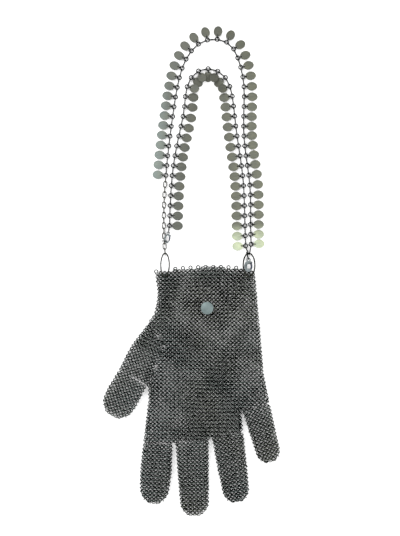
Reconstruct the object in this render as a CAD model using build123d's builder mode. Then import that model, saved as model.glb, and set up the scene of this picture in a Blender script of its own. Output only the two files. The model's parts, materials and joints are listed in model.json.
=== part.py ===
from build123d import *
from math import atan2, cos, degrees, radians, sin, sqrt
import os

os.makedirs("parts", exist_ok=True)

# A chain mail glove made up as a handbag. It lies on its back: +X to the right of the glove,
# +Y from the fingertips to the strap, +Z up from the surface it lies on. Millimetres.
# The mail is drawn as thin walls, one node for each panel; the strap is a belt of real links.

# ---- glove, driving dimensions
DRAWN_FROM = (-0.18, -0.59)     # middle of the whole outline in the drawing: the frame's origin
BEYOND = 100                    # past the outline of the hand on any side
THICK = 8.0                     # thickness of the empty glove lying flat
WALL = 1.4                      # thickness of one layer of mail
GAP = 0.3                       # clearance at every bending line
MOUTH_HINGE_Y = -52.0           # the front of the cuff lifts from this line
PANEL_LEFT, PANEL_RIGHT = -12.4, 40.8   # sides of the lifting front of the cuff

# ---- hand outline: corners of its long sides, which are rounded to the radius beside them
CUFF_LEFT, CUFF_CROWN, CUFF_RIGHT = (-37.0, -3.2), (15.0, 1.6), (63.5, -1.0)
RIGHT_SIDE, RIGHT_ROUND = [CUFF_RIGHT, (68.0, -50.0), (72.6, -105.0)], 60
LEFT_SIDE, LEFT_ROUND = [(-61.5, -76.0), (-37.0, -43.0), (-34.5, -22.0), CUFF_LEFT], 22
INDEX_SIDE = [(-43.4, -128.0)]
GUSSET_TOP, GUSSET_PEAK = (-44.6, -51.9), (-26.7, -74.8)    # corners of the thumb gusset
GUSSET_OUTSIDE = [(-80, -70), (-90, -110)]                  # and two beyond the outline

# ---- stretches of the outline closed by side walls: left, bottom, right and top of each
LEFT_WALL, RIGHT_WALL = (-50, GUSSET_TOP[1], -30, -5), (58, -131, 90, -3)
INDEX_WALL, RING_WALL = (-60, -170, -36, -118), (48, -160, 57, -142)
GUSSET_WALL_LOW = -98           # the gusset's side wall stops short of the thumb here

# ---- fingers: middle of the bending line, lean from -Y towards +X, half widths at the bending
# line, at the middle joint and at the tip, length of the round tip, middle joint, whole length
FINGERS = {
    "thumb": dict(at=(-58.9, -107.5), lean=-28.9, half=(16.6, 17.5, 17.2), round=17, joint=19, length=43.5),
    "index": dict(at=(-33.7, -172.8), lean=-4.2, half=(15.2, 16.2, 15.2), round=17, joint=30, length=61),
    "middle": dict(at=(0.3, -170.8), lean=2.3, half=(17.1, 15.9, 14.9), round=15, joint=36, length=75),
    "ring": dict(at=(35.7, -164.3), lean=8.5, half=(16.4, 15.3, 13.9), round=14, joint=32, length=68.5),
    "little": dict(at=(64.3, -136.8), lean=15.0, half=(14.7, 13.4, 12.6), round=12, joint=26, length=57),
}

# ---- snap button
SNAP = (15.4, -37.8)
CAP_R, CAP_BASE, CAP_RISE = 6.25, 1.0, 1.5
POST_R, POST_FIT = 1.3, 0.05
SOCKET_R, SOCKET_BORE, SOCKET_DEPTH = 4.5, 2.5, 2.0
SOCKET_FLOOR_Z = 3.6
STUD_R, STUD_TOP_Z, STUD_BASE, STUD_ROUND = 1.8, 5.2, 1.0, 0.6
RIVET_RAISE = 0.35              # the ends of the riveted posts stay this far inside their parts

# ---- rings along the cuff's edge
EDGE_RING_R, EDGE_WIRE_R = 1.6, 0.5
EDGE_BITE = 0.4                 # how deep an edge ring is woven into the cuff
EDGE_PITCH, CORNER_RING_AT = 7.6, 1.6
EDGE_STARTS = {"left": (CORNER_RING_AT, 20.9), "front": (28.5,), "right": (81.7,)}
FRONT_RINGS = 7                 # rings in a row on the lifting front

# ---- strap: a belt of round eyes joined by upright links, an oval charm at every eye
CHAIN_Z = 1.7                   # height of the chain's middle above the surface
EYE_R, EYE_WIRE_R = 2.0, 0.5
LINK_WIRE_R, LINK_RISE, LINK_REACH = 0.45, 1.15, 0.9
JUMP_WIRE_R, JUMP_RISE, JUMP_NEAR, JUMP_FAR = 0.4, 1.2, 0.95, 4.15
CHARM_LENGTH, CHARM_WIDTH, CHARM_THICK = 10.7, 8.6, 0.9
CHARM_HOLE_R, CHARM_HOLE_IN, CHARM_ROUND = 0.8, 1.45, 0.2
RIM, RIM_STEP = 0.9, 0.18
CHARM_DROOP, CHARM_LIFT = 7.0, 27.0      # slope down to the surface, and up over a neighbour
CHARM_RAISE = 0.36              # a charm that rides up sits this much higher in its ring
CROWDED_TURN = 26.0             # charms ride up where the chain turns this much over two links
FOLD_Y = 126.5                  # the strap folds in half along this line
PITCH_AIM = 10.1                # from eye to eye
HALVINGS = 40                   # steps in finding where a strand crosses the fold line

# Each strand: its route, eyes between the two crossings of the fold line, eyes before and after
OUTER_ROUTE = [
    (-26.4, 88.0), (-23.0, 124.5), (-18.9, 155.4), (-14.0, 185.7), (-4.2, 214.0), (8.8, 227.8),
    (23.5, 231.4), (37.0, 227.0), (46.9, 210.5), (52.1, 186.2), (52.2, 160.2), (52.0, 140.3),
    (54.9, 110.6), (58.2, 85.2), (58.9, 61.6), (60.2, 16.0)]
INNER_ROUTE = [
    (54.6, 16.0), (52.9, 61.6), (51.8, 86.2), (49.0, 110.6), (46.0, 130.2), (42.5, 159.4),
    (39.6, 179.2), (33.0, 194.0), (18.0, 201.8), (3.6, 197.5), (-4.6, 184.0), (-7.4, 163.0),
    (-12.9, 134.8), (-18.4, 104.4), (-21.6, 64.4), (-22.4, 36.0)]
STRANDS = {
    "outer": dict(route=OUTER_ROUTE, across=25, before=3, after=10),
    "inner": dict(route=INNER_ROUTE, across=18, before=10, after=8),
}

# ---- oval rings that carry the strap, leaning on the cuff's edge
SWING_Y, SWING_Z = -6.5, 11.6   # the line about which the whole strap swings
OVAL_TOP_Y = 17.0
OVALS = {"left": dict(x=-26.6, half=4.2, wire=0.65), "right": dict(x=57.3, half=5.8, wire=0.7)}
HOLD_RING_R, HOLD_WIRE_R, HOLD_DROP = 3.65, 0.4, 2.25
HOLD_HOLE_R, HOLD_HOLE_OUT = 1.1, 2.9
FOLD_LINK_OUT = 0.5             # the two links on the right oval ring, each way from its middle

# ---- extension chain and clasps
EXT_LINKS, EXT_WIRE_R, EXT_FLAT_HALF, EXT_UPRIGHT_HALF = 15, 0.45, 1.6, 1.2
EXT_BOW = (-28.0, 52.0)         # the chain hangs in a slight curve through this point
SLACK = 0.1                     # between two linked wires
CLASPED_LINK = 12               # the upright link that carries the left clasp's ring
GRIP_R, GRIP_WIRE_R, GRIP_AT = 2.6, 0.4, 2.1    # that ring, and how far up the claw it passes
CLAW_HALF, CLAW_LONG = 3.2, 4.6
CLASP_SIZES = {"left": 1.0, "right": 1.3}
CLAW_RIMS, LEVER_RIM = {"left": 1.6, "right": 2.2}, 1.6     # before a clasp is brought to its size
CLASP_THICK, LEVER_THICK = 1.3, 0.5
CLASP_EYE_AT, CLASP_EYE_R, CLASP_EYE_WIRE_R = 10.2, 1.25, 0.4
MOUTH_LOW, MOUTH_HIGH, MOUTH_IN = 2.2, 7.2, 0.5
PIVOT, LUG_R, PIN_R, PIN_FIT = (1.9, 7.7), 1.1, 0.35, 0.05
LEVER_PLAY = 0.15
RIGHT_CLASP_EYE, RIGHT_CLASP_CLAW = (-0.5, 18.4), (-0.9, 4.9)   # in the right oval ring's plane
RIGHT_CLASP_RAISE = 0.3         # and how far above that plane it lies
RIGHT_CLASP_HANG = -2.3         # where its link goes over the oval ring's top
LEFT_CLASP_RISE, RIGHT_CLASP_RISE = 1.9, 1.35   # half heights of the clasps' links


def across_and_along(finger):
    """Unit vectors across the finger and along it, towards the tip."""
    lean = radians(finger["lean"])
    return (cos(lean), sin(lean)), (sin(lean), -cos(lean))


def on_finger(finger, along, across):
    """A point given along and across a finger, in the frame of the glove."""
    (ax, ay), (lx, ly) = across_and_along(finger)
    x, y = finger["at"]
    return (x + along * lx + across * ax, y + along * ly + across * ay)


def knuckle_ends(name):
    """The two ends of a finger's bending line, the +X end first."""
    finger = FINGERS[name]
    return on_finger(finger, 0, finger["half"][0]), on_finger(finger, 0, -finger["half"][0])


def save(builder, name):
    piece = builder.part.moved(Location((-DRAWN_FROM[0], -DRAWN_FROM[1], 0)))
    piece.label = name
    export_step(piece, f"parts/{name}.step")


# ---------------------------------------------------------------- glove: palm, back and cuff
knuckles = [p for name in ("little", "ring", "middle", "index") for p in knuckle_ends(name)]
thumb_crotch, thumb_outside = knuckle_ends("thumb")

with BuildSketch() as hand:
    with BuildLine():
        ThreePointArc(CUFF_LEFT, CUFF_CROWN, CUFF_RIGHT)
        FilletPolyline(*RIGHT_SIDE, knuckles[0], radius=RIGHT_ROUND)
        Polyline(*knuckles, *INDEX_SIDE, thumb_crotch, thumb_outside)
        FilletPolyline(thumb_outside, *LEFT_SIDE, radius=LEFT_ROUND)
    make_face()

with BuildSketch() as hand_inside:
    offset(hand.sketch, amount=-WALL)


def region(left, bottom, right, top):
    """A rectangle by its sides, as a list of corners."""
    return [(left, bottom), (right, bottom), (right, top), (left, top)]


GUSSET = [GUSSET_TOP, *GUSSET_OUTSIDE, thumb_crotch, GUSSET_PEAK]
CUFF = region(-BEYOND, MOUTH_HINGE_Y, BEYOND, BEYOND)
PALM = region(-BEYOND, -2 * BEYOND, BEYOND, MOUTH_HINGE_Y - GAP)
FRONT_Z, BACK_Z = THICK - WALL, 0.0


def panel(outline, corners, base_z, height, cut=()):
    """The part of an outline inside a polygon, raised to a wall; cut is taken out of it."""
    with BuildPart() as piece:
        with BuildSketch(Plane.XY.offset(base_z)):
            add(outline)
            Polygon(*corners, align=None, mode=Mode.INTERSECT)
            if cut:
                Polygon(*cut, align=None, mode=Mode.SUBTRACT)
        extrude(amount=height)
    return piece


LIFTING_FRONT = region(PANEL_LEFT, MOUTH_HINGE_Y + GAP, PANEL_RIGHT, BEYOND)
with BuildPart() as cuff_front:
    add(panel(hand.sketch, LIFTING_FRONT, FRONT_Z, WALL).part)
    with Locations((*SNAP, THICK)):
        Hole(POST_R + POST_FIT, WALL)
save(cuff_front, "cuff_front_mail")

SIDE_PANELS = {
    "left": region(-BEYOND, MOUTH_HINGE_Y, PANEL_LEFT - GAP, BEYOND),
    "right": region(PANEL_RIGHT + GAP, MOUTH_HINGE_Y, BEYOND, BEYOND),
}
for side, corners in SIDE_PANELS.items():
    holes_y = (SWING_Y - HOLD_HOLE_OUT, SWING_Y + HOLD_HOLE_OUT)
    with BuildPart() as cuff_side:
        add(panel(hand.sketch, corners, FRONT_Z, WALL).part)
        with Locations(*[(OVALS[side]["x"], y, THICK) for y in holes_y]):
            Hole(HOLD_HOLE_R, WALL)
    save(cuff_side, f"cuff_{side}_mail")

with BuildPart() as cuff_back:
    add(panel(hand.sketch, CUFF, BACK_Z, WALL).part)
    with Locations((*SNAP, WALL)):
        Hole(SOCKET_R + POST_FIT, WALL)
save(cuff_back, "cuff_back_mail")

for face, base_z in {"front": FRONT_Z, "back": BACK_Z}.items():
    save(panel(hand.sketch, PALM, base_z, WALL, cut=GUSSET), f"palm_{face}_mail")
    gusset = panel(hand.sketch, GUSSET, base_z, WALL)
    save(gusset, f"thumb_gusset_{face}_mail")

SIDE_WALLS = {
    "left_side_mail": region(*LEFT_WALL),
    "right_side_mail": region(*RIGHT_WALL),
    "index_side_mail": region(*INDEX_WALL),
    "ring_side_mail": region(*RING_WALL),
    "gusset_side_mail": region(-BEYOND, GUSSET_WALL_LOW, GUSSET_TOP[0], GUSSET_TOP[1]),
}
for name, corners in SIDE_WALLS.items():
    with BuildPart() as side_wall:
        add(panel(hand.sketch, corners, WALL, THICK - 2 * WALL).part)
        with BuildSketch(Plane.XY.offset(WALL)):
            add(hand_inside.sketch)
        extrude(amount=THICK - 2 * WALL, mode=Mode.SUBTRACT)
    save(side_wall, name)


# ---------------------------------------------------------------- glove: fingers
def finger_outline(finger, part, inset, overrun=0):
    """Outline of a finger's base or tip in its own plane, drawn in by the inset."""
    base, middle, tip = [half - inset for half in finger["half"]]
    joint = finger["joint"]
    shoulder, nose = finger["length"] - finger["round"], finger["round"] - inset
    with BuildSketch() as outline:
        if part == "base":
            start, end = GAP - overrun, joint + overrun
            Polygon((-base, -start), (base, -start), (middle, -end), (-middle, -end), align=None)
        else:
            start = joint + GAP - overrun
            with BuildLine():
                Polyline((-tip, -shoulder), (-middle, -start), (middle, -start), (tip, -shoulder))
                EllipticalCenterArc((0, -shoulder), tip, nose, start_angle=180, arc_size=180)
            make_face()
    return outline.sketch


def finger_segment(finger, part):
    """A tube of mail: open towards the palm, and open or rounded off at its far end."""
    (ax, ay), _ = across_and_along(finger)
    plane = Plane(origin=(*finger["at"], 0), x_dir=(ax, ay, 0), z_dir=(0, 0, 1))
    outside = finger_outline(finger, part, 0)
    inside = finger_outline(finger, part, WALL, overrun=2 * GAP)
    with BuildPart() as segment:
        with BuildSketch(plane):
            add(outside)
        extrude(amount=THICK)
        with BuildSketch(plane.offset(WALL)):
            add(inside)
        extrude(amount=THICK - 2 * WALL, mode=Mode.SUBTRACT)
    return segment


for name, finger in FINGERS.items():
    for part in ("base", "tip"):
        save(finger_segment(finger, part), f"{name}_{part}_mail")


# ---------------------------------------------------------------- snap button
SOCKET_TOP_Z = THICK - WALL
POST_LOW_Z = SOCKET_FLOOR_Z + SOCKET_DEPTH + RIVET_RAISE

with BuildPart() as snap_cap:
    for radius, low, high in ((POST_R, POST_LOW_Z, THICK), (CAP_R, THICK, THICK + CAP_BASE + CAP_RISE)):
        with BuildSketch(Plane.XY.offset(low)):
            with Locations(SNAP):
                Circle(radius)
        extrude(amount=high - low)
    dome_r = (CAP_R ** 2 + CAP_RISE ** 2) / (2 * CAP_RISE)
    with Locations((*SNAP, THICK + CAP_BASE + CAP_RISE - dome_r)):
        Sphere(dome_r, mode=Mode.INTERSECT)
save(snap_cap, "snap_cap")

with BuildPart() as snap_socket:
    with BuildSketch(Plane.XY.offset(SOCKET_FLOOR_Z)):
        with Locations(SNAP):
            Circle(SOCKET_R)
            Circle(SOCKET_BORE, mode=Mode.SUBTRACT)
    extrude(amount=SOCKET_DEPTH)
    with BuildSketch(Plane.XY.offset(SOCKET_FLOOR_Z + SOCKET_DEPTH)):
        with Locations(SNAP):
            Circle(SOCKET_R)
            Circle(POST_R + POST_FIT, mode=Mode.SUBTRACT)
    extrude(amount=SOCKET_TOP_Z - SOCKET_FLOOR_Z - SOCKET_DEPTH)
save(snap_socket, "snap_socket")

with BuildPart() as snap_stud:
    for radius, low, high in ((POST_R, RIVET_RAISE, WALL), (SOCKET_R, WALL, WALL + STUD_BASE),
                              (STUD_R, WALL + STUD_BASE, STUD_TOP_Z)):
        with BuildSketch(Plane.XY.offset(low)):
            with Locations(SNAP):
                Circle(radius)
        extrude(amount=high - low)
    fillet(snap_stud.edges().filter_by(GeomType.CIRCLE).sort_by(Axis.Z)[-1], STUD_ROUND)
save(snap_stud, "snap_stud")

with BuildPart() as snap_back_ring:
    with BuildSketch():
        with Locations(SNAP):
            Circle(SOCKET_R)
            Circle(POST_R + POST_FIT, mode=Mode.SUBTRACT)
    extrude(amount=WALL)
save(snap_back_ring, "snap_back_ring")


# ---------------------------------------------------------------- rings on the cuff
cuff_edge = ThreePointArc(CUFF_LEFT, CUFF_CROWN, CUFF_RIGHT)
SHEET_Z = THICK - WALL / 2


def edge_ring_at(distance):
    """Middle of an edge ring, given how far along the cuff's edge it stands."""
    foot = cuff_edge.position_at(distance, position_mode=PositionMode.LENGTH)
    return (foot.X, foot.Y + EDGE_RING_R + EDGE_WIRE_R - EDGE_BITE, SHEET_Z)


for part, starts in EDGE_STARTS.items():
    feet = [start + i * EDGE_PITCH for start in starts for i in range(FRONT_RINGS if part == "front" else 1)]
    with BuildPart() as edge_rings:
        with Locations(*[edge_ring_at(foot) for foot in feet]):
            Torus(EDGE_RING_R, EDGE_WIRE_R)
    save(edge_rings, f"{part}_edge_rings")

for side, oval in OVALS.items():
    with BuildPart() as hold_ring:
        with Locations((oval["x"], SWING_Y, SWING_Z - HOLD_DROP)):
            Torus(HOLD_RING_R, HOLD_WIRE_R, rotation=(0, 90, 0))
    save(hold_ring, f"{side}_hold_ring")


# ---------------------------------------------------------------- strap: shared pieces
def wire_loop(length, rise, wire):
    """A long link standing on edge in XZ; length and rise are to the middle of its wire."""
    straight = length / 2 - rise
    with BuildPart() as loop:
        with BuildLine(Plane.XZ) as path:
            Line((-straight, -rise), (straight, -rise))
            ThreePointArc((straight, -rise), (straight + rise, 0), (straight, rise))
            Line((straight, rise), (-straight, rise))
            ThreePointArc((-straight, rise), (-straight - rise, 0), (-straight, -rise))
        with BuildSketch(Plane(origin=path.line @ 0, z_dir=path.line % 0)):
            Circle(wire)
        sweep()
    return loop.part


def link_between(start, end, rise, wire, up=(0, 0, 1)):
    """A link whose two end wires lie at start and end, standing as near up as it can."""
    start, end, up = Vector(*start), Vector(*end), Vector(*up)
    along = (end - start).normalized()
    frame = Plane(origin=(start + end) / 2, x_dir=along, z_dir=up - along * up.dot(along))
    return wire_loop((end - start).length, rise, wire).moved(frame.location)


def length_at(route, y, low, high):
    """How far along a route it crosses a line of equal y, between two lengths."""
    rising = route.position_at(high, position_mode=PositionMode.LENGTH).Y > y
    for _ in range(HALVINGS):
        middle = (low + high) / 2
        above = route.position_at(middle, position_mode=PositionMode.LENGTH).Y > y
        low, high = (low, middle) if above == rising else (middle, high)
    return (low + high) / 2


def eye_frames(strand):
    """One plane at each eye: origin at its middle, x along the chain, y towards its charm."""
    route = Spline(*strand["route"])
    first = length_at(route, FOLD_Y, 0, route.length / 2) - EYE_R
    last = length_at(route, FOLD_Y, route.length / 2, route.length) + EYE_R
    pitch = (last - first) / strand["across"]
    planes = []
    for i in range(-strand["before"], strand["across"] + strand["after"] + 1):
        place = first + i * pitch
        at = route.position_at(place, position_mode=PositionMode.LENGTH)
        ahead = route.tangent_at(place, position_mode=PositionMode.LENGTH)
        planes.append(Plane(origin=(at.X, at.Y, CHAIN_Z), x_dir=ahead, z_dir=(0, 0, 1)))
    return planes


with BuildPart() as charm:
    middle_y = CHARM_LENGTH / 2 - CHARM_HOLE_IN
    with BuildSketch(Plane.XY.offset(-CHARM_THICK / 2)):
        with Locations((0, middle_y)):
            Ellipse(CHARM_WIDTH / 2, CHARM_LENGTH / 2)
    extrude(amount=CHARM_THICK)
    fillet(charm.edges().filter_by(Plane.XY, reverse=False), CHARM_ROUND)
    for face_z, into in ((CHARM_THICK / 2, -RIM_STEP), (-CHARM_THICK / 2, RIM_STEP)):
        with BuildSketch(Plane.XY.offset(face_z)):
            with Locations((0, middle_y)):
                Ellipse(CHARM_WIDTH / 2 - RIM, CHARM_LENGTH / 2 - RIM)
        extrude(amount=into, mode=Mode.SUBTRACT)
    Hole(CHARM_HOLE_R, CHARM_THICK)

JUMP_MIDDLE = (JUMP_NEAR + JUMP_FAR) / 2
jump_ring = wire_loop(JUMP_FAR - JUMP_NEAR, JUMP_RISE, JUMP_WIRE_R).moved(
    Location((0, JUMP_MIDDLE, 0), (0, 0, 90)))
belt_link = wire_loop(PITCH_AIM - 2 * LINK_REACH, LINK_RISE, LINK_WIRE_R)


def charm_location(planes, i):
    """A charm droops to the surface, or rides over its neighbours where the chain crowds."""
    before, after = planes[max(i - 1, 0)], planes[min(i + 1, len(planes) - 1)]
    turn = before.x_dir.get_signed_angle(after.x_dir, Vector(0, 0, 1))
    rides_up = turn > CROWDED_TURN and i % 2 == 0
    slope, rise = (CHARM_LIFT, CHARM_RAISE) if rides_up else (-CHARM_DROOP, 0)
    return planes[i].location * Location((0, JUMP_FAR, rise), (slope, 0, 0))


eyes = {name: eye_frames(strand) for name, strand in STRANDS.items()}
halves = {"lower": dict(eyes=[], links=[], charms=[]), "upper": dict(eyes=[], links=[], charms=[])}
for planes in eyes.values():
    for i, plane in enumerate(planes):
        half = halves["upper" if plane.origin.Y > FOLD_Y else "lower"]
        half["eyes"].append(plane.location)
        half["charms"].append(charm_location(planes, i))
    for one, other in zip(planes, planes[1:]):
        middle = (one.origin + other.origin) / 2
        frame = Plane(origin=middle, x_dir=other.origin - one.origin, z_dir=(0, 0, 1))
        halves["upper" if middle.Y > FOLD_Y else "lower"]["links"].append(frame.location)

for name, half in halves.items():
    with BuildPart() as chain_eyes:
        with Locations(*half["eyes"]):
            Torus(EYE_R, EYE_WIRE_R)
    save(chain_eyes, f"{name}_chain_eyes")
    for kind, blank, places in (("chain_links", belt_link, half["links"]),
                                ("jump_rings", jump_ring, half["eyes"]),
                                ("charms", charm.part, half["charms"])):
        with BuildPart() as row:
            with Locations(*places):
                add(blank)
        save(row, f"{name}_{kind}")


# ---------------------------------------------------------------- strap: oval rings
LEAN = degrees(atan2(SWING_Z - CHAIN_Z, OVAL_TOP_Y - SWING_Y))
OVAL_LENGTH = (OVAL_TOP_Y - SWING_Y) / cos(radians(LEAN))


def oval_plane(oval):
    """Plane of an oval ring: origin on the swing line, x to the right, y up the ring."""
    normal = (0, sin(radians(LEAN)), cos(radians(LEAN)))
    return Plane(origin=(oval["x"], SWING_Y, SWING_Z), x_dir=(1, 0, 0), z_dir=normal)


for side, oval in OVALS.items():
    with BuildPart() as oval_ring:
        with BuildLine(oval_plane(oval)) as path:
            EllipticalCenterArc((0, OVAL_LENGTH / 2), oval["half"], OVAL_LENGTH / 2, 0, arc_size=360)
        with BuildSketch(Plane(origin=path.line @ 0, z_dir=path.line % 0)):
            Circle(oval["wire"])
        sweep()
    save(oval_ring, f"{side}_oval_ring")

left_oval, right_oval = OVALS["left"], OVALS["right"]
right_seat = right_oval["wire"] + LINK_WIRE_R + 2 * SLACK
outer_last, inner_first = eyes["outer"][-1], eyes["inner"][0]
with BuildPart() as fold_links:
    for eye, toward, shift in ((inner_first, -1, -FOLD_LINK_OUT), (outer_last, 1, FOLD_LINK_OUT)):
        top = eye.origin + eye.x_dir * toward * LINK_REACH
        foot = (right_oval["x"] + shift, OVAL_TOP_Y - right_seat, CHAIN_Z)
        add(link_between(top, foot, CHAIN_Z - LINK_WIRE_R, LINK_WIRE_R))
save(fold_links, "fold_links")

# ---------------------------------------------------------------- strap: extension chain
ext_top = eyes["outer"][0].origin - eyes["outer"][0].x_dir * LINK_REACH
ext_foot = Vector(left_oval["x"], OVAL_TOP_Y - left_oval["wire"] - EXT_WIRE_R - SLACK, CHAIN_Z)
ext_route = ThreePointArc(ext_top, (*EXT_BOW, CHAIN_Z), ext_foot)
ext_lap = 2 * EXT_WIRE_R + SLACK
ext_link_length = (ext_route.length + (EXT_LINKS - 1) * ext_lap) / EXT_LINKS


def ext_ends(i):
    """The two ends of a link of the extension chain."""
    first = i * (ext_link_length - ext_lap)
    return [ext_route.position_at(place, position_mode=PositionMode.LENGTH)
            for place in (first, first + ext_link_length)]


with BuildPart() as extension_chain:
    for i in range(EXT_LINKS):
        flat = i % 2 == 1
        start, end = ext_ends(i)
        up = (end - start).cross(Vector(0, 0, 1)).normalized() if flat else (0, 0, 1)
        half_width = EXT_FLAT_HALF if flat else EXT_UPRIGHT_HALF
        add(link_between(start, end, half_width, EXT_WIRE_R, up))
save(extension_chain, "extension_chain")


# ---------------------------------------------------------------- strap: lobster clasps
def claw_face(inset, rim):
    """The almond of a claw with its hole, drawn in or out by the inset."""
    with BuildSketch() as face:
        with Locations((0, CLAW_LONG)):
            Ellipse(CLAW_HALF - inset, CLAW_LONG - inset)
            Ellipse(CLAW_HALF - rim + inset, CLAW_LONG - rim + inset, mode=Mode.SUBTRACT)
    return face.sketch


def slab(face, thickness):
    """A face raised both ways from its plane."""
    with BuildPart() as piece:
        with BuildSketch():
            add(face)
        extrude(amount=thickness / 2, both=True)
    return piece.part


def clasp_pieces(frame, side):
    """Body, lever and pin of a lobster clasp in a plane: claw at the origin, eye up its y."""
    mouth = region(MOUTH_IN, MOUTH_LOW, CLAW_HALF + 1, MOUTH_HIGH)
    with BuildPart() as body:
        add(slab(claw_face(0, CLAW_RIMS[side]), CLASP_THICK))
        with BuildSketch(Plane.XY.offset(-CLASP_THICK / 2)):
            Polygon(*mouth, align=None)
        extrude(amount=CLASP_THICK, mode=Mode.SUBTRACT)
        with Locations((0, CLASP_EYE_AT, 0)):
            Torus(CLASP_EYE_R, CLASP_EYE_WIRE_R)
        with BuildSketch(Plane.XY.offset(-LEVER_THICK / 2 - PIN_FIT)):
            with Locations(PIVOT):
                Circle(LUG_R + LEVER_PLAY)
        extrude(amount=LEVER_THICK + 2 * PIN_FIT, mode=Mode.SUBTRACT)
        with Locations((*PIVOT, CLASP_THICK / 2)):
            Hole(PIN_R, CLASP_THICK)
    with BuildPart() as lever:
        add(slab(claw_face(LEVER_PLAY, LEVER_RIM), LEVER_THICK))
        with BuildSketch(Plane.XY.offset(-LEVER_THICK / 2)):
            Polygon(*region(PIVOT[0] - LUG_R, MOUTH_LOW + LEVER_PLAY, CLAW_HALF, PIVOT[1]), align=None)
        extrude(amount=LEVER_THICK, mode=Mode.INTERSECT)
        with BuildSketch(Plane.XY.offset(-LEVER_THICK / 2)):
            with Locations(PIVOT):
                Circle(LUG_R)
        extrude(amount=LEVER_THICK)
        with Locations((*PIVOT, LEVER_THICK / 2)):
            Hole(PIN_R + PIN_FIT, LEVER_THICK)
    with BuildPart() as pin:
        with Locations(PIVOT):
            Cylinder(PIN_R, CLASP_THICK)
    for builder, kind in ((body, "body"), (lever, "lever"), (pin, "pin")):
        sized = scale(builder.part, by=CLASP_SIZES[side])
        with BuildPart() as placed:
            with Locations(frame):
                add(sized)
        save(placed, f"{side}_clasp_{kind}")


def clasp_frame(claw, eye, up, grip):
    """A clasp's plane: a point up its middle lies at claw, its eye towards another point."""
    along = (eye - claw).normalized()
    return Plane(origin=claw - along * grip, x_dir=along.cross(up), z_dir=up)


def eye_hold(frame, side):
    """Where a link lies in a clasp's eye."""
    size = CLASP_SIZES[side]
    seat = size * (CLASP_EYE_R - CLASP_EYE_WIRE_R) - LINK_WIRE_R - 2 * SLACK
    return frame.origin + frame.y_dir * (size * CLASP_EYE_AT + seat)


clasped_start, clasped_end = ext_ends(CLASPED_LINK)
clasped = (clasped_start + clasped_end) / 2
inner_last = eyes["inner"][-1]
rise = Vector(0, 0, GRIP_R)
left_frame = clasp_frame(clasped + rise + Vector(GRIP_R, 0, 0), inner_last.origin + rise,
                         Vector(0, 0, 1), GRIP_AT)
clasp_pieces(left_frame, "left")
with BuildPart() as grip_ring:
    with Locations(clasped + rise):
        Torus(GRIP_R, GRIP_WIRE_R, rotation=(90, 0, 0))
save(grip_ring, "left_clasp_ring")

left_eye = eye_hold(left_frame, "left")
left_end = inner_last.origin - left_frame.y_dir * (LINK_REACH - 2 * SLACK)

right_plane = oval_plane(right_oval)
right_up = right_plane.z_dir
right_frame = clasp_frame(right_plane.from_local_coords(Vector(*RIGHT_CLASP_CLAW, RIGHT_CLASP_RAISE)),
                          right_plane.from_local_coords(Vector(*RIGHT_CLASP_EYE, RIGHT_CLASP_RAISE)),
                          right_up, 0)
clasp_pieces(right_frame, "right")
right_eye = eye_hold(right_frame, "right")
hang_sine = RIGHT_CLASP_HANG / right_oval["half"]
hang_cosine = sqrt(1 - hang_sine ** 2)
hang_slope = OVAL_LENGTH / 2 / right_oval["half"] * hang_sine / hang_cosine
hang_y = OVAL_LENGTH / 2 * (1 + hang_cosine) + right_seat * sqrt(1 + hang_slope ** 2)
right_hang = right_plane.from_local_coords(Vector(RIGHT_CLASP_HANG, hang_y, 0))

with BuildPart() as clasp_links:
    add(link_between(left_end, left_eye, LEFT_CLASP_RISE, LINK_WIRE_R))
    add(link_between(right_eye, right_hang, RIGHT_CLASP_RISE, LINK_WIRE_R, up=right_up))
save(clasp_links, "clasp_links")
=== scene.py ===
import json
import math

import bpy
import numpy as np
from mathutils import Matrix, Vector


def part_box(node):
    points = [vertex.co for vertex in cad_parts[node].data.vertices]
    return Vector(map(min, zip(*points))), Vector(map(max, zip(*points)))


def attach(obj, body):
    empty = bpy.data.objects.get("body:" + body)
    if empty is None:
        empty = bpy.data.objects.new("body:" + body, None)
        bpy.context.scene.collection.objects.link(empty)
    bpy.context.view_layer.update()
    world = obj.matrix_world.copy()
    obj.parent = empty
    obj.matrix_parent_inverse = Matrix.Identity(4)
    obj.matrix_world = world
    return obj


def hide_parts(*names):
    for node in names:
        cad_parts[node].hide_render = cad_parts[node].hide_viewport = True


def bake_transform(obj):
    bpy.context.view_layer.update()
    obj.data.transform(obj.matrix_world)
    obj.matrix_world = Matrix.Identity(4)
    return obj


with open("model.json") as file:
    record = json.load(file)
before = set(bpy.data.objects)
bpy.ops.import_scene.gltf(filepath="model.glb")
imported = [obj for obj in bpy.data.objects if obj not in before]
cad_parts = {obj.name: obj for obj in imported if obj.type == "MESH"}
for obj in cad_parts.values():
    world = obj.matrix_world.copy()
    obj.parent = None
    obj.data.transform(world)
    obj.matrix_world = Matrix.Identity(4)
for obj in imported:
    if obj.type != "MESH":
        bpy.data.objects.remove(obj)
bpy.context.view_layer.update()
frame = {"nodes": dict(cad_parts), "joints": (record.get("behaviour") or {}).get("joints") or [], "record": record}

# The glove's mail is woven ring by ring inside the outline of each CAD panel: rows of rings that
# lean alternately up and down the sheet, wrapped round the glove's edges. Lengths in metres.
MM = 0.001
PITCH, ROW = 4.1 * MM, 1.94 * MM            # ring to ring along a row, and row to row
RING_R, WIRE_R = 1.72 * MM, 0.36 * MM       # middle of the wire, and the wire itself
TILT = math.radians(36)                     # how far a ring leans out of the sheet
RING_SIDES, WIRE_SIDES = 12, 5
SHEET_IN = 1.5 * MM                         # from the glove's outside to the middle of a sheet
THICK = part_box("palm_front_mail")[1].z
MIDDLE_Z = THICK / 2
WRAP_R = MIDDLE_Z - SHEET_IN                # round the glove's edges
EDGE_IN = 0.45 * PITCH / 2                  # from an open edge to the first place for a ring
CLOSED_WITHIN = 1.2 * MM                    # how near a side wall the glove's edge counts as closed
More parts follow.
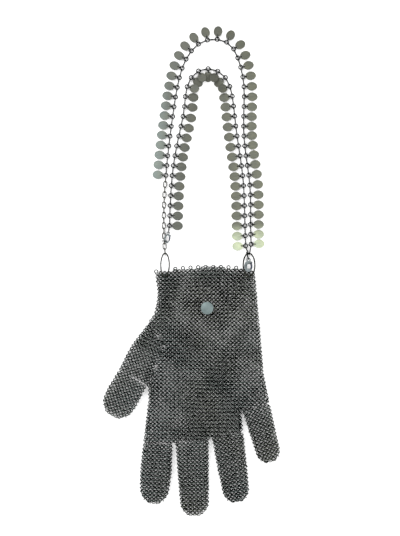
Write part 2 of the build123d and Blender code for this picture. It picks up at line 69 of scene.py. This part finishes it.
GRID_SLACK = 0.001 * MM                     # so that a ring exactly on a limit is kept

# A fingertip: how far in its last ring lies, the least room for a row before it, how long the
# round end is, how far its rings lean forward, and how far back the last row's width is taken.
TIP_IN, TIP_ROOM, TIP_REACH, TIP_LEAN, TIP_BACK = 0.8 * SHEET_IN, 0.25 * ROW, 1.6 * WRAP_R, 0.7, 0.2 * ROW

# No two rings are quite alike: how much their lean, turn, place, size and shade differ.
LEAN_SPREAD, TURN_SPREAD, PLACE_SPREAD = math.radians(4), 0.05, 0.09 * MM
SIZE_SPREAD, TONE_SPREAD = 0.012, 0.10
TONE, PAINTED_RISE_LIGHT = 0.5, 0.62                # the usual shade, and the painted light by height: painted highlight where a ring's wire rises, painted shade where it dips
rng = np.random.default_rng(7)


# ---------------------------------------------------------------- outlines of the CAD panels
FLAT_WITHIN = 0.01 * MM                     # how near the lowest point the underside's corners lie
DECIMALS = 6                                # corners that agree to a micrometre are one point
TINY = 1e-18                                # keeps an edge of no length from dividing by zero


def outline(node):
    """The outer loop of a flat panel in plan, from the faces on its underside."""
    mesh = frame["nodes"][node].data
    co = np.empty(len(mesh.vertices) * 3)
    mesh.vertices.foreach_get("co", co)
    co = co.reshape(-1, 3)
    low = co[:, 2].min() + FLAT_WITHIN
    places = {}
    ids = [places.setdefault((round(x, DECIMALS), round(y, DECIMALS)), len(places)) for x, y, _ in co]
    follows = set()
    for face in mesh.polygons:
        corners = list(face.vertices)
        if max(co[c][2] for c in corners) > low:
            continue
        for a, b in zip(corners, corners[1:] + corners[:1]):
            edge = (ids[a], ids[b])
            if edge[::-1] in follows:
                follows.remove(edge[::-1])
            else:
                follows.add(edge)
    points, after = list(places), dict(follows)
    best, best_area = None, 0.0
    while after:
        start, here = next(iter(after.items()))
        del after[start]
        loop = [start]
        while here != start and here in after:
            loop.append(here)
            here = after.pop(here)
        ring = np.array([points[i] for i in loop])
        x, y = ring[:, 0], ring[:, 1]
        area = abs(np.dot(x, np.roll(y, -1)) - np.dot(y, np.roll(x, -1))) / 2
        if area > best_area:
            best, best_area = ring, area
    return best


SIDE_WALLS = [outline(n) for n in frame["nodes"] if n.endswith("_side_mail")]


def distance_to(loop, point):
    """How far a point in plan is from a loop."""
    a, b = loop, np.roll(loop, -1, axis=0)
    along = b - a
    t = ((point - a) * along).sum(1) / np.maximum((along ** 2).sum(1), TINY)
    foot = a + np.clip(t, 0, 1)[:, None] * along
    return np.sqrt(((foot - point) ** 2).sum(1)).min()


def is_closed(point):
    """Whether the glove's front and back are joined round the edge at this point."""
    return min(distance_to(wall, point) for wall in SIDE_WALLS) < CLOSED_WITHIN


def slices(loop, origin, across, along, v):
    """Where a row at distance v along crosses a loop: pairs of distances across."""
    local = loop - origin
    us, vs = local @ across, local @ along - v
    found = []
    for u0, v0, u1, v1 in zip(us, vs, np.roll(us, -1), np.roll(vs, -1)):
        if (v0 > 0) != (v1 > 0):
            found.append(u0 + (u1 - u0) * v0 / (v0 - v1))
    found.sort()
    return list(zip(found[::2], found[1::2]))


# ---------------------------------------------------------------- rings
class Rings:
    """Rings gathered for one panel: place, way along the row, outward normal, lean and layer."""

    def __init__(self):
        self.at, self.along_row, self.normal, self.lean, self.layer = [], [], [], [], []

    def add(self, at, along_row, normal, lean, layer):
        self.at.append(at)
        self.along_row.append(along_row)
        self.normal.append(normal)
        self.lean.append(lean)
        self.layer.append(layer)

    def arrays(self):
        return (np.array(self.at), np.array(self.along_row), np.array(self.normal),
                np.array(self.lean, float), np.array(self.layer))


def grid(low, high, odd):
    """Ring places of a row between two limits, on a grid that all rows of a panel share."""
    shift = PITCH / 2 if odd else 0.0
    first, last = math.ceil((low - shift) / PITCH), math.floor((high - shift) / PITCH)
    return [shift + i * PITCH for i in range(first, last + 1)]


def weave_row(rings, origin, across, along, row, span, closed_ends, half=WRAP_R, lean_end=0.0):
    """One row of rings over the front, round the closed edges and over the back."""
    v, (u0, u1), (closed0, closed1) = row * ROW, span, closed_ends
    bend = min(WRAP_R, (u1 - u0) / 2 - SHEET_IN)
    if bend <= 0:
        return
    sign = 1 if row % 2 else -1
    ax, al, up = np.array([*across, 0.0]), np.array([*along, 0.0]), np.array([0, 0, 1.0])
    base = np.array([*(origin + along * v), MIDDLE_Z])
    lift, tip = math.cos(lean_end), math.sin(lean_end)
    low = u0 + SHEET_IN + bend if closed0 else u0 + EDGE_IN
    high = u1 - SHEET_IN - bend if closed1 else u1 - EDGE_IN
    places = grid(low - GRID_SLACK, high + GRID_SLACK, row % 2)
    if not places:
        places = [(low + high) / 2]
    for u in places:
        rings.add(base + ax * u + up * half, ax, up * lift + al * tip, sign, 1)
        rings.add(base + ax * u - up * half, -ax, -up * lift + al * tip, sign, -1)
    for side, closed, limit, last in ((1, closed1, high, places[-1]), (-1, closed0, low, places[0])):
        if not closed:
            continue
        lead = abs(limit - last)
        arc = math.pi * (bend + half) / 2
        steps = max(2, round((arc + 2 * lead) / PITCH))
        for i in range(1, steps):
            s = i * (arc + 2 * lead) / steps - lead
            angle = math.pi / 2 - math.pi * min(max(s / arc, 0), 1)
            beyond = -s if s < 0 else max(0, s - arc)
            c, n = math.cos(angle), math.sin(angle)
            at = base + ax * (limit + side * (bend * c - beyond)) + up * half * n
            normal = ax * side * c + up * n
            rings.add(at, (ax * side * n - up * c) * side, normal, sign, 0)


def weave_panel(loops, origin, across, along, rows):
    """Rows of rings over flat panels that share one grid."""
    rings = Rings()
    for row in rows:
        v = row * ROW
        for loop in loops:
            for u0, u1 in slices(loop, origin, across, along, v):
                if u1 - u0 < PITCH:
                    continue
                closed_ends = [is_closed(origin + across * u + along * v) for u in (u0, u1)]
                weave_row(rings, origin, across, along, row, (u0, u1), closed_ends)
    return rings


def weave_finger(loop, origin, across, along, rows, end):
    """Rows of rings round a finger; where the end is given, they close over the fingertip."""
    rings = Rings()
    for row in rows:
        v = row * ROW
        half, lean = WRAP_R, 0.0
        if end is not None:
            left = end - TIP_IN - v
            if left < TIP_ROOM:
                continue
            if left < TIP_REACH:
                half = WRAP_R * math.sqrt(1 - (1 - left / TIP_REACH) ** 2)
                lean = math.asin(1 - left / TIP_REACH) * TIP_LEAN
        for span in slices(loop, origin, across, along, v):
            weave_row(rings, origin, across, along, row, span, (True, True), half, lean)
    if end is not None:
        v = end - TIP_IN
        for u0, u1 in slices(loop, origin, across, along, v - TIP_BACK):
            al = np.array([*along, 0.0])
            for u in grid(u0 + SHEET_IN, u1 - SHEET_IN, 0):
                at = np.array([*(origin + across * u + along * v), MIDDLE_Z])
                rings.add(at, np.array([*across, 0.0]), al, 1, 0)
    return rings


def ring_mesh(name, rings, keep, tone, body=None):
    """One object holding every kept ring as a closed loop of round wire, with its shade: its own tone plus painted
    highlight where the wire rises and painted shade where it dips.
    """
    at, row, normal, lean, _ = rings
    at, row, normal, lean = at[keep], row[keep], normal[keep], lean[keep]
    count = len(at)
    down = np.cross(normal, row)
    tilt = (TILT + rng.normal(0, LEAN_SPREAD, count)) * lean
    cos, sin = np.cos(tilt)[:, None], np.sin(tilt)[:, None]
    across = row + rng.normal(0, TURN_SPREAD, (count, 3))
    across /= np.linalg.norm(across, axis=1)[:, None]
    other, axis = down * cos - normal * sin, normal * cos + down * sin
    at = at + rng.normal(0, PLACE_SPREAD, (count, 3))
    radius = RING_R * (1 + rng.normal(0, SIZE_SPREAD, count))
    a = np.arange(RING_SIDES) * 2 * math.pi / RING_SIDES
    b = np.arange(WIRE_SIDES) * 2 * math.pi / WIRE_SIDES
    out = (across[:, None, :] * np.cos(a)[None, :, None]
           + other[:, None, :] * np.sin(a)[None, :, None])
    reach = radius[:, None, None] + WIRE_R * np.cos(b)[None, None, :]
    points = (at[:, None, None, :] + out[:, :, None, :] * reach[:, :, :, None]
              + (axis[:, None, None, :] * (WIRE_R * np.sin(b))[None, None, :, None]))
    points = points.reshape(-1, 3)
    i, j = np.meshgrid(np.arange(RING_SIDES), np.arange(WIRE_SIDES), indexing="ij")
    i2, j2 = (i + 1) % RING_SIDES, (j + 1) % WIRE_SIDES
    quads = np.stack([i * WIRE_SIDES + j, i2 * WIRE_SIDES + j,
                      i2 * WIRE_SIDES + j2, i * WIRE_SIDES + j2], -1).reshape(-1, 4)
    ring_size = RING_SIDES * WIRE_SIDES
    faces = (quads[None] + (np.arange(count) * ring_size)[:, None, None]).reshape(-1, 4)
    mesh = bpy.data.meshes.new(name)
    mesh.vertices.add(len(points))
    mesh.vertices.foreach_set("co", points.ravel())
    mesh.loops.add(faces.size)
    mesh.loops.foreach_set("vertex_index", faces.ravel().astype(np.int32))
    mesh.polygons.add(len(faces))
    mesh.polygons.foreach_set("loop_start", np.arange(0, faces.size, 4, dtype=np.int32))
    mesh.polygons.foreach_set("loop_total", np.full(len(faces), 4, dtype=np.int32))
    mesh.polygons.foreach_set("use_smooth", np.ones(len(faces), dtype=bool))
    mesh.update(calc_edges=True)
    value = TONE + rng.normal(0, TONE_SPREAD, count) + tone[keep]
    # Painted light: each point of the wire is lighter the higher it rises in its ring and darker the lower it
    # dips, as highlight and shade.
    rise = (points.reshape(count, ring_size, 3) - at[:, None, :]) @ normal[:, :, None]
    value = np.clip(value[:, None] + PAINTED_RISE_LIGHT * rise[:, :, 0] / RING_R, 0, 1)
    shade = mesh.attributes.new("tone", "FLOAT", "POINT")
    shade.data.foreach_set("value", value.ravel().astype(np.float32))
    mesh.materials.append(MAIL)
    piece = bpy.data.objects.new(name, mesh)
    bpy.context.scene.collection.objects.link(piece)
    if body:
        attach(piece, body)
    return piece


# ---------------------------------------------------------------- materials
def node_material(name):
    """A material with its output and a Principled shader."""
    material = bpy.data.materials.new(name)
    material.use_nodes = True
    nodes, links = material.node_tree.nodes, material.node_tree.links
    nodes.clear()
    output = nodes.new("ShaderNodeOutputMaterial")
    shader = nodes.new("ShaderNodeBsdfPrincipled")
    links.new(shader.outputs["BSDF"], output.inputs["Surface"])
    return material, nodes, links, shader


def ramp(nodes, stops):
    node = nodes.new("ShaderNodeValToRGB")
    elements = node.color_ramp.elements
    while len(elements) > 1:
        elements.remove(elements[-1])
    elements[0].position, elements[0].color = stops[0][0], (*stops[0][1], 1)
    for position, colour in stops[1:]:
        elements.new(position).color = (*colour, 1)
    return node


def noise(nodes, links, scale, detail=2.0, stretch=None):
    """Noise over the object's own coordinates."""
    place = nodes.new("ShaderNodeTexCoord")
    node = nodes.new("ShaderNodeTexNoise")
    node.inputs["Scale"].default_value = scale
    node.inputs["Detail"].default_value = detail
    source = place.outputs["Object"]
    if stretch:
        mapping = nodes.new("ShaderNodeMapping")
        mapping.inputs["Scale"].default_value = stretch
        links.new(source, mapping.inputs["Vector"])
        source = mapping.outputs["Vector"]
    links.new(source, node.inputs["Vector"])
    return node


def mix(nodes, links, mode, factor, first, second):
    node = nodes.new("ShaderNodeMix")
    node.data_type, node.blend_type = "RGBA", mode
    for socket, value in (("Factor", factor), ("A", first), ("B", second)):
        target = [s for s in node.inputs if s.name == socket and s.enabled][0]
        if isinstance(value, (int, float)):
            target.default_value = value
        elif isinstance(value, tuple):
            target.default_value = (*value, 1)
        else:
            links.new(value, target)
    return [s for s in node.outputs if s.enabled][0]


def bump(nodes, links, shader, source, strength, distance):
    node = nodes.new("ShaderNodeBump")
    node.inputs["Strength"].default_value = strength
    node.inputs["Distance"].default_value = distance
    links.new(source, node.inputs["Height"])
    links.new(node.outputs["Normal"], shader.inputs["Normal"])


def grey(value):
    """The same number three times, for a ramp that carries a number or a grey."""
    return (value,) * 3


# Scales are in noise cells per metre of the object.
EDGE_TINT = (0.22, 0.24, 0.23, 1)           # dulls wire where it turns away
# The ramp from the tone attribute to the wire's colour; the tone holds each ring's own shade plus painted
# highlight and painted shade.
MAIL_SHADES = [(0.0, (0.003, 0.004, 0.004)), (0.45, (0.011, 0.0135, 0.0125)),
               (0.75, (0.036, 0.042, 0.039)), (1.0, (0.105, 0.118, 0.111))]
COOL, WARM = (0.88, 0.98, 1.0), (1.0, 0.98, 0.86)
PATCH_SCALE, GRAIN_SCALE, WEAR_SCALE, PITTING_SCALE = 14.0, 900.0, 420.0, 1500.0
BRUSH_SCALE, MOTTLE_SCALE = 500.0, 160.0
BRUSH_STRETCH = (0.35, 2.2, 1.0)            # the brushing runs across the glove
FINE_BUMP, PITTING_BUMP = 0.1 * MM, 0.08 * MM


def mail_material():
    """Dull steel wire: each ring has its own shade, with patches of warmer and cooler grey, and the tone attribute
    also carries painted highlight on raised wire and crowns and painted shade where the wire dips and in creases.
    """
    material, nodes, links, shader = node_material("mail_steel")
    tone = nodes.new("ShaderNodeAttribute")
    tone.attribute_name = "tone"
    shade = ramp(nodes, MAIL_SHADES)
    links.new(tone.outputs["Fac"], shade.inputs["Fac"])
    patch = ramp(nodes, [(0.35, COOL), (0.65, WARM)])
    links.new(noise(nodes, links, PATCH_SCALE).outputs["Fac"], patch.inputs["Fac"])
    colour = mix(nodes, links, "MULTIPLY", 1.0, shade.outputs["Color"], patch.outputs["Color"])
    links.new(colour, shader.inputs["Base Color"])
    rough = ramp(nodes, [(0.3, grey(0.5)), (0.7, grey(0.66))])
    grain = noise(nodes, links, GRAIN_SCALE)
    links.new(grain.outputs["Fac"], rough.inputs["Fac"])
    links.new(rough.outputs["Color"], shader.inputs["Roughness"])
    bump(nodes, links, shader, grain.outputs["Fac"], 0.25, FINE_BUMP)
    shader.inputs["Metallic"].default_value = 0.9
    shader.inputs["Specular Tint"].default_value = EDGE_TINT
    return material


def wire_material(name, dark, light, roughness, metallic=0.9):
    """Round wire with worn and darkened patches."""
    material, nodes, links, shader = node_material(name)
    wear = noise(nodes, links, WEAR_SCALE, 3.0)
    shade = ramp(nodes, [(0.35, dark), (0.68, light)])
    links.new(wear.outputs["Fac"], shade.inputs["Fac"])
    links.new(shade.outputs["Color"], shader.inputs["Base Color"])
    spread = ramp(nodes, [(0.3, grey(roughness - 0.08)), (0.7, grey(roughness + 0.12))])
    links.new(wear.outputs["Fac"], spread.inputs["Fac"])
    links.new(spread.outputs["Color"], shader.inputs["Roughness"])
    pitting = noise(nodes, links, PITTING_SCALE)
    bump(nodes, links, shader, pitting.outputs["Fac"], 0.2, PITTING_BUMP)
    shader.inputs["Metallic"].default_value = metallic
    shader.inputs["Specular Tint"].default_value = EDGE_TINT
    return material


# The strap's charms change colour along it. Each span is two places on an axis, with its stops.
# Across the strap: a painted reflection, lighter and bluish, on the charms at the thumb's end, then olive grey
# across the top.
CHARM_TINT_AND_PAINTED_REFLECTION = ("X", -40 * MM, 75 * MM, [
    (0.0, (0.19, 0.222, 0.21)), (0.09, (0.135, 0.153, 0.142)), (0.15, (0.10, 0.107, 0.096)),
    (0.3, (0.10, 0.103, 0.088)), (0.55, (0.10, 0.103, 0.086)), (0.68, (0.105, 0.108, 0.088)),
    (0.8, (0.125, 0.13, 0.103)), (1.0, (0.14, 0.145, 0.115))])
CHARMS_UP = ("Y", 150 * MM, 235 * MM, [(0.0, grey(1.0)), (1.0, grey(0.85))])
PALE_FOOT = ("Y", 22 * MM, 50 * MM, [(0.0, grey(1)), (0.45, grey(0.75)), (0.9, grey(0))])
PALE_SIDE = ("X", 30 * MM, 36 * MM, [(0.0, grey(0)), (1.0, grey(1))])
PALE_CHARM = (0.44, 0.49, 0.35)


def charm_material():
    """Brushed pewter: a painted reflection makes the charms lighter and bluer at the thumb's side; olive across
    the top, pale at the strap's foot.
    """
    material, nodes, links, shader = node_material("charm_pewter")
    place = nodes.new("ShaderNodeTexCoord")
    split = nodes.new("ShaderNodeSeparateXYZ")
    links.new(place.outputs["Object"], split.inputs[0])

    def along(axis, low, high, stops):
        span = nodes.new("ShaderNodeMapRange")
        span.inputs["From Min"].default_value = low
        span.inputs["From Max"].default_value = high
        links.new(split.outputs[axis], span.inputs["Value"])
        node = ramp(nodes, stops)
        links.new(span.outputs["Result"], node.inputs["Fac"])
        return node.outputs["Color"]

    colour = mix(nodes, links, "MULTIPLY", 1.0, along(*CHARM_TINT_AND_PAINTED_REFLECTION), along(*CHARMS_UP))
    pale = mix(nodes, links, "MULTIPLY", 1.0, along(*PALE_FOOT), along(*PALE_SIDE))
    colour = mix(nodes, links, "MIX", pale, colour, PALE_CHARM)
    brushed = noise(nodes, links, BRUSH_SCALE, 3.0, stretch=BRUSH_STRETCH)
    streak = ramp(nodes, [(0.25, grey(0.78)), (0.75, grey(1.12))])
    links.new(brushed.outputs["Fac"], streak.inputs["Fac"])
    colour = mix(nodes, links, "MULTIPLY", 1.0, colour, streak.outputs["Color"])
    mottle = ramp(nodes, [(0.3, (0.88, 0.9, 0.92)), (0.7, (1.06, 1.05, 0.98))])
    links.new(noise(nodes, links, MOTTLE_SCALE).outputs["Fac"], mottle.inputs["Fac"])
    colour = mix(nodes, links, "MULTIPLY", 1.0, colour, mottle.outputs["Color"])
    links.new(colour, shader.inputs["Base Color"])
    rough = ramp(nodes, [(0.3, grey(0.42)), (0.7, grey(0.6))])
    links.new(brushed.outputs["Fac"], rough.inputs["Fac"])
    links.new(rough.outputs["Color"], shader.inputs["Roughness"])
    bump(nodes, links, shader, brushed.outputs["Fac"], 0.3, FINE_BUMP)
    shader.inputs["Metallic"].default_value = 0.75
    return material


MAIL = mail_material()
FINISHES = {
    "trim_ring": wire_material("trim_wire", (0.015, 0.017, 0.016), (0.06, 0.066, 0.063), 0.55),
    "chain": wire_material("chain_wire", (0.003, 0.004, 0.004), (0.022, 0.026, 0.025), 0.5),
    "oval": wire_material("oval_wire", (0.005, 0.006, 0.005), (0.035, 0.036, 0.029), 0.5),
    "extension": wire_material("extension_wire", (0.02, 0.02, 0.016), (0.08, 0.079, 0.062), 0.5),
    "clasp": wire_material("clasp_metal", (0.10, 0.115, 0.12), (0.19, 0.215, 0.22), 0.42),
    "snap": wire_material("snap_metal", (0.12, 0.155, 0.155), (0.15, 0.19, 0.19), 0.5, 0.45),
    "charm": charm_material(),
}
LEVER = wire_material("lever_metal", (0.012, 0.016, 0.03), (0.05, 0.06, 0.09), 0.25)

slots = {row["node"]: row["material_slot"] for row in frame["record"]["subparts"]}
for name, node in frame["nodes"].items():
    material = FINISHES.get(slots[name], MAIL)
    if name.endswith("_lever"):
        material = LEVER
    node.data.materials.clear()
    node.data.materials.append(material)


# ---------------------------------------------------------------- the mail
MOUTH_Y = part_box("palm_front_mail")[1].y        # where the cuff begins
EDGE_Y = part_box("cuff_back_mail")[1].y
PANEL_LEFT, PANEL_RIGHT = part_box("cuff_front_mail")[0].x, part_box("cuff_front_mail")[1].x
SNAP = (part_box("snap_cap")[0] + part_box("snap_cap")[1]) / 2
POST_ROOM = 2.6 * MM                            # no ring's middle is nearer the snap's post

# The lie of the glove's front, in millimetres. Puckers fan out round the snap: height, distance
# from one to the next, and where they are strongest. Each crease is its ends, depth and width.
PUCKER, PUCKER_PITCH, PUCKER_Y, PUCKER_X = 0.65, 7.6, -12, -12
CREASES = [((30, -17), (43, -40), 0.9, 2.4), ((-2, -26.5), (58, -28), 0.7, 2.6),
           ((22, -45), (49, -72), 0.5, 3.0), ((-44, -52), (-27, -74), 0.8, 2.2),
           ((-27, -74), (-44, -103), 0.8, 2.2)]
FRONT_LOW = 0.1
# Painted light from the relief: how much shade is painted per millimetre of height, the deepest painted shade and
# the brightest painted highlight.
PAINTED_LIGHT_PER_MM, DEEPEST_PAINTED_SHADE, BRIGHTEST_PAINTED_HIGHLIGHT = 0.22, -0.3, 0.18


def ripple(x, y, height, length_x, length_y, phase=0.0):
    """Straight waves that run slantwise over the plan."""
    return height * np.sin(x / length_x + y / length_y + phase)


def groove(at, start, end, width):
    """How close a point is to a crease between two points: 1 in it, falling off to 0."""
    a, b = np.array(start) * MM, np.array(end) * MM
    t = np.clip(((at - a) @ (b - a)) / ((b - a) @ (b - a)), 0, 1)
    gap = np.linalg.norm(at - a - t[:, None] * (b - a), axis=1)
    return np.exp(-(gap / (width * MM)) ** 2)


def relief(at):
    """Height of the front above its flat place: puckers in the cuff, creases and soft waves."""
    x, y = at[:, 0] / MM, at[:, 1] / MM
    top = np.exp(-((y - PUCKER_Y) / 16) ** 2) * (1 / (1 + np.exp(-(x - PUCKER_X) / 5)))
    turns = (x - SNAP.x / MM) / PUCKER_PITCH
    pucker = PUCKER * top * np.cos(2 * math.pi * turns + 0.5 * np.sin(y / 7))
    waves = (0.3 * np.sin(x / 17 + 1.2) * np.sin(y / 23 + 0.4)
             + ripple(x, y, 0.22, 9, -14) + ripple(x, y, 0.15, 5.5, 8, 1))
    creases = sum(-depth * groove(at, start, end, width) for start, end, depth, width in CREASES)
    return (pucker + waves + creases - FRONT_LOW) * MM


def warp(at):
    """How far the weave is pulled out of line in plan."""
    x, y = at[:, 0] / MM, at[:, 1] / MM
    aside = (1.1 * np.sin(y / 29 + 0.6) * np.cos(x / 37)
             + ripple(x, y, 0.45, 23, 11) + ripple(x, y, 0.25, 9.1, 4.7))
    up = 0.9 * np.sin(x / 21 + 0.3) * np.cos(y / 43) + ripple(x, y, 0.3, 7.3, -15)
    return np.stack([aside, up], 1) * MM


def shape_front(rings):
    """Lifts and turns the rings of the front layer to follow the relief."""
    at, row, normal, lean, layer = rings
    front = layer == 1
    plan = at[front, :2]
    step = 0.5 * MM
    height = relief(plan)
    slope = np.stack([(relief(plan + np.array(move)) - height) / step
                      for move in ((step, 0), (0, step))], 1)
    at[front, 2] += height
    at[front, :2] += warp(plan)
    new = normal[front].copy()
    new[:, :2] -= slope
    new /= np.linalg.norm(new, axis=1)[:, None]
    along = row[front]
    along = along - (along * new).sum(1)[:, None] * new
    row[front] = along / np.linalg.norm(along, axis=1)[:, None]
    normal[front] = new
    return at, row, normal, lean, layer


def painted_relief_light(at):
    """Painted shade: darker rings in the creases; painted highlight: lighter ones on the puckers' crowns."""
    return np.clip(relief(at[:, :2]) / MM * PAINTED_LIGHT_PER_MM, DEEPEST_PAINTED_SHADE, BRIGHTEST_PAINTED_HIGHLIGHT)


X_WAY, Y_WAY = np.array([1.0, 0.0]), np.array([0.0, -1.0])
ORIGIN = np.zeros(2)
cuff_loop, palm_loop = outline("cuff_back_mail"), outline("palm_back_mail")
first_row, mouth_row = math.ceil(-EDGE_Y / ROW), math.ceil(-MOUTH_Y / ROW)
last_row = int(-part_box("palm_back_mail")[0].y / ROW)

cuff = weave_panel([cuff_loop], ORIGIN, X_WAY, Y_WAY, range(first_row, mouth_row)).arrays()
cuff = shape_front(cuff)
# The cuff's rings get painted shade in its creases and a painted highlight on the puckers' crowns.
cuff_painted_relief_light = painted_relief_light(cuff[0])
on_front, x_at = cuff[4] == 1, cuff[0][:, 0]
clear_of_post = np.hypot(cuff[0][:, 0] - SNAP.x, cuff[0][:, 1] - SNAP.y) > POST_ROOM
parts = {
    "cuff_back_weave": ~on_front,
    "cuff_left_weave": on_front & (x_at < PANEL_LEFT),
    "cuff_right_weave": on_front & (x_at > PANEL_RIGHT),
    "cuff_front_weave": on_front & (x_at >= PANEL_LEFT) & (x_at <= PANEL_RIGHT),
}
weaves = {name: ring_mesh(name, cuff, keep & clear_of_post, cuff_painted_relief_light) for name, keep in parts.items()}
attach(weaves["cuff_back_weave"], "glove")
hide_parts("cuff_back_mail", "left_side_mail")
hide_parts("cuff_left_mail")
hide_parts("cuff_right_mail")
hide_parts("cuff_front_mail")
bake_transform(weaves["cuff_front_weave"])
for side, edge, beside in (("left", PANEL_LEFT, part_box("left_hold_ring")[1].x + MM),
                           ("right", PANEL_RIGHT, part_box("right_hold_ring")[0].x - MM)):
    trim_mesh = frame["nodes"][f"{side}_edge_rings"].data.copy()
    trim = bpy.data.objects.new(f"{side}_edge_trim", trim_mesh)
    bpy.context.scene.collection.objects.link(trim)
    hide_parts(f"{side}_edge_rings")
    for piece in (weaves[f"cuff_{side}_weave"], trim):
        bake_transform(piece)

joints = {j["name"]: j for j in frame["joints"]}
FINGERS = [name[:-len("_knuckle")] for name in joints if name.endswith("_knuckle")]

# Seams along a finger, in millimetres: change of shade, place across the finger and width.
SEAMS = [(0.20, 9.6, 1.3), (0.10, -12.6, 1.2), (-0.14, 12.6, 1.6), (-0.10, -6.5, 3.0)]
SEAM_START, SEAM_FADE, SEAM_REACH = -24, 18, 16.5
SEAMS_BELOW = -100 * MM                     # the seams run on into the palm up to here
THUMB_TONE, GUSSET_TONE = 0.08, 0.06        # the thumb's mail is a little brighter
GUSSET_BEFORE, GUSSET_PAST = 80 * MM, 8 * MM    # how far the gusset reaches from the thumb's knuckle


def finger_frame(name):
    """Origin on the knuckle's line, and the ways across the finger and along it, in plan."""
    joint = joints[f"{name}_knuckle"]
    across = -np.array(joint["axis"][:2])
    across /= np.linalg.norm(across)
    return np.array(joint["pos_m"][:2]), across, np.array([across[1], -across[0]])


def seam_tone(plan, origin, across, along):
    """The seams down a finger's sides, brighter than the mail, with a shaded strip beside each."""
    off = ((plan - origin) @ across) / MM
    down = ((plan - origin) @ along) / MM
    lines = sum(shade * np.exp(-((off - place) / width) ** 2) for shade, place, width in SEAMS)
    return lines * np.clip((down - SEAM_START) / SEAM_FADE, 0, 1) * (np.abs(off) < SEAM_REACH)


palm = weave_panel([palm_loop], ORIGIN, X_WAY, Y_WAY, range(mouth_row, last_row + 1)).arrays()
# The palm's rings get painted shade in the creases and a painted highlight on the crowns, plus the seams running
# on from the fingers.
palm_tone_and_painted_light = painted_relief_light(palm[0])
for name in FINGERS:
    if name != "thumb":
        palm_tone_and_painted_light += seam_tone(palm[0][:, :2], *finger_frame(name)) * (palm[0][:, 1] < SEAMS_BELOW)
palm = shape_front(palm)
palm_front = ring_mesh("palm_front_weave", palm, palm[4] == 1, palm_tone_and_painted_light, "glove")
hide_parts("palm_front_mail")
palm_back = ring_mesh("palm_back_weave", palm, palm[4] != 1, palm_tone_and_painted_light, "glove")
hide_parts("palm_back_mail", "index_side_mail", "right_side_mail", "ring_side_mail")

origin, across, along = finger_frame("thumb")
gusset_loop = outline("thumb_gusset_back_mail")
gusset_rows = range(-int(GUSSET_BEFORE / ROW), int(GUSSET_PAST / ROW))
gusset = weave_panel([gusset_loop], origin, across, along, gusset_rows).arrays()
gusset = shape_front(gusset)
# The gusset's rings get painted shade in the creases and a painted highlight on the crowns, and are a little
# brighter.
gusset_weave = ring_mesh("thumb_gusset_weave", gusset, np.ones(len(gusset[0]), bool),
                         painted_relief_light(gusset[0]) + GUSSET_TONE, "glove")
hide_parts("thumb_gusset_front_mail", "thumb_gusset_back_mail", "gusset_side_mail")

for name in FINGERS:
    origin, across, along = finger_frame(name)
    tip_loop, base_loop = outline(f"{name}_tip_mail"), outline(f"{name}_base_mail")
    knuckle, middle = joints[f"{name}_knuckle"], joints[f"{name}_middle_joint"]
    reach = float((np.array(middle["pos_m"][:2]) - origin) @ along)
    end = float(((tip_loop - origin) @ along).max())
    middle_row = math.ceil(reach / ROW)
    base = weave_finger(base_loop, origin, across, along, range(1, middle_row), None).arrays()
    tip_rows = range(middle_row, int(end / ROW) + 1)
    tip = weave_finger(tip_loop, origin, across, along, tip_rows, end).arrays()
    for part, rings, bodies, joint in (("base", base, ("glove", f"{name}_base"), knuckle),
                                       ("tip", tip, (f"{name}_base", f"{name}_tip"), middle)):
        tone = seam_tone(rings[0][:, :2], origin, across, along)
        if name == "thumb":
            tone = tone + THUMB_TONE
        piece = ring_mesh(f"{name}_{part}_weave", rings, np.ones(len(rings[0]), bool), tone)
        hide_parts(f"{name}_{part}_mail")
        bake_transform(piece)


# ---------------------------------------------------------------- floor, light and camera
HALF_FLOOR, FLOOR_GAP = 3.0, 0.3 * MM       # the floor lies just clear of the glove's underside
FLOOR_SHADE, WORLD_LIGHT = 0.97, 1.2
floor_mesh = bpy.data.meshes.new("floor")
corners = [(x * HALF_FLOOR, y * HALF_FLOOR, 0) for x, y in ((-1, -1), (1, -1), (1, 1), (-1, 1))]
floor_mesh.from_pydata(corners, [], [(0, 1, 2, 3)])
floor = bpy.data.objects.new("floor", floor_mesh)
floor.location.z = -FLOOR_GAP
bpy.context.scene.collection.objects.link(floor)
pale, _, _, shader = node_material("floor_pale")
shader.inputs["Base Color"].default_value = (*grey(FLOOR_SHADE), 1)
shader.inputs["Roughness"].default_value = 0.9
floor_mesh.materials.append(pale)

world = bpy.data.worlds.new("studio")
bpy.context.scene.world = world
world.use_nodes = True
background = world.node_tree.nodes["Background"]
background.inputs["Color"].default_value = (1.0, 1.0, 1.0, 1)
background.inputs["Strength"].default_value = WORLD_LIGHT


def area_light(name, location, size, energy):
    """A square light that points at the object's origin."""
    data = bpy.data.lights.new(name, "AREA")
    data.shape, data.size, data.energy = "SQUARE", size, energy
    light = bpy.data.objects.new(name, data)
    light.location = location
    light.rotation_euler = (-Vector(location)).to_track_quat("-Z", "Y").to_euler()
    bpy.context.scene.collection.objects.link(light)


area_light("key", (-0.9, 1.0, 1.6), 0.9, 26)
area_light("fill", (1.1, -0.5, 1.5), 1.2, 12)

CAMERA_HEIGHT, FIELD = 1.6, 0.536           # the field is the picture's height on the surface
AIM_X, AIM_Y = 8.5 * MM, 2.8 * MM           # the point it looks straight down on
camera_data = bpy.data.cameras.new("camera")
camera_data.sensor_width = 36
camera_data.lens = camera_data.sensor_width * CAMERA_HEIGHT / FIELD
camera = bpy.data.objects.new("camera", camera_data)
camera.location = (AIM_X, AIM_Y, CAMERA_HEIGHT + MIDDLE_Z)
bpy.context.scene.collection.objects.link(camera)
bpy.context.scene.camera = camera
bpy.context.scene.view_settings.view_transform = "Standard"
